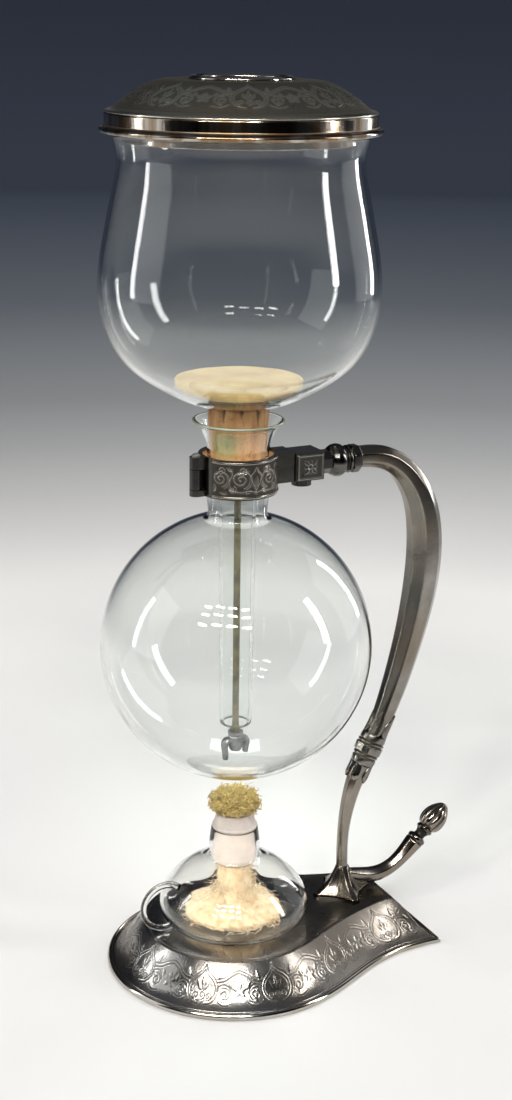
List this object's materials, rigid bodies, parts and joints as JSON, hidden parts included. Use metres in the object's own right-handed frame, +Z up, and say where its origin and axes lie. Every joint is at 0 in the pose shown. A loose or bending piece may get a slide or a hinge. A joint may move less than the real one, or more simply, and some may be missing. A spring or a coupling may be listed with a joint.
{
  "type": "siphon coffee maker",
  "caption": "Table siphon coffee maker: a glass globe in a hinged collar on a plated stand, a lidded glass funnel with stopper and filter above it, and a spirit lamp below.",
  "frame": {"origin": "on the standing plane, under the common axis of the globe and the funnel", "axes": "+Z up along the axis of the glass, +X towards the handle, the stand is symmetric about y = 0"},
  "size_m": [0.1872, 0.128, 0.4241],
  "materials": {
    "silver_plate": "worn silver plate, polished, with light grey-brown tarnish in the hollows",
    "steel": "plain steel, dulled with age",
    "bronze": "dark greenish bronze rod",
    "clear_glass": "clear blown glass with a faint green edge",
    "lamp_glass": "clear blown glass with a faint yellow cast",
    "cork": "aged cork, orange tan, with cracks",
    "filter_cloth": "coffee-stained cotton filter cloth",
    "porcelain": "unglazed pinkish-white porcelain",
    "cotton": "ochre cotton wick, frayed"
  },
  "bodies": {
    "stand": {"base_shell": "silver_plate", "base_border": "silver_plate", "foot_plate": "silver_plate", "foot_stud": "steel", "foot_washer": "steel", "foot_nut": "steel", "lower_stem": "silver_plate", "spur_collar": "silver_plate", "acorn_finial": "silver_plate", "stem_knuckle": "silver_plate", "handle_stud": "steel", "upper_handle": "silver_plate", "handle_bead": "silver_plate", "bead_stud": "steel", "clamp_arm": "silver_plate", "clamp_plate": "silver_plate", "collar_front": "silver_plate", "hinge_pin": "steel", "cork_liner_front": "cork", "globe": "clear_glass"},
    "collar_gate": {"collar_rear": "silver_plate", "cork_liner_rear": "cork"},
    "screw": {"clamp_screw": "silver_plate"},
    "upper_glass": {"funnel": "clear_glass", "stopper": "cork", "filter_disc": "steel", "filter_cloth": "filter_cloth", "filter_rod": "bronze"},
    "nut_washer": {"thrust_washer": "steel"},
    "nut": {"wing_nut": "steel"},
    "lid": {"lid_band": "silver_plate", "lid_cover": "silver_plate", "lid_well": "silver_plate"},
    "lamp": {"lamp_font": "lamp_glass"},
    "burner": {"wick_holder": "porcelain", "wick": "cotton"}
  },
  "joints": [
    {"name": "collar_swing", "type": "hinge", "parent": "stand", "child": "collar_gate", "pos_m": [-0.0212, 0, 0.2485], "axis": [0, 0, 1], "range_deg": [0, 75]},
    {"name": "clamp_screw_turn", "type": "hinge", "parent": "stand", "child": "screw", "pos_m": [0.033, 0, 0.2405], "axis": [0, 0, 1], "range_deg": [-1080, 0]},
    {"name": "funnel_lift", "type": "slide", "parent": "stand", "child": "upper_glass", "axis": [0, 0, 1], "range_m": [0, 0.172]},
    {"name": "nut_travel", "type": "slide", "parent": "upper_glass", "child": "nut_washer", "axis": [0, 0, 1], "range_m": [-0.0021, 0.006]},
    {"name": "nut_turn", "type": "hinge", "parent": "nut_washer", "child": "nut", "pos_m": [0, 0, 0.1145], "axis": [0, 0, 1], "range_deg": [-1081, 3087]},
    {"name": "lid_lift", "type": "slide", "parent": "upper_glass", "child": "lid", "axis": [0, 0, 1], "range_m": [0, 0.06]},
    {"name": "lamp_slide", "type": "slide", "parent": "stand", "child": "lamp", "axis": [-1, 0, 0], "range_m": [0, 0.115]},
    {"name": "burner_lift", "type": "slide", "parent": "lamp", "child": "burner", "axis": [0, 0, 1], "range_m": [0, 0.006]}
  ],
  "couplings": [
    {"joint": "nut_turn", "follows": "nut_travel", "rad_per_m": 8976}
  ]
}
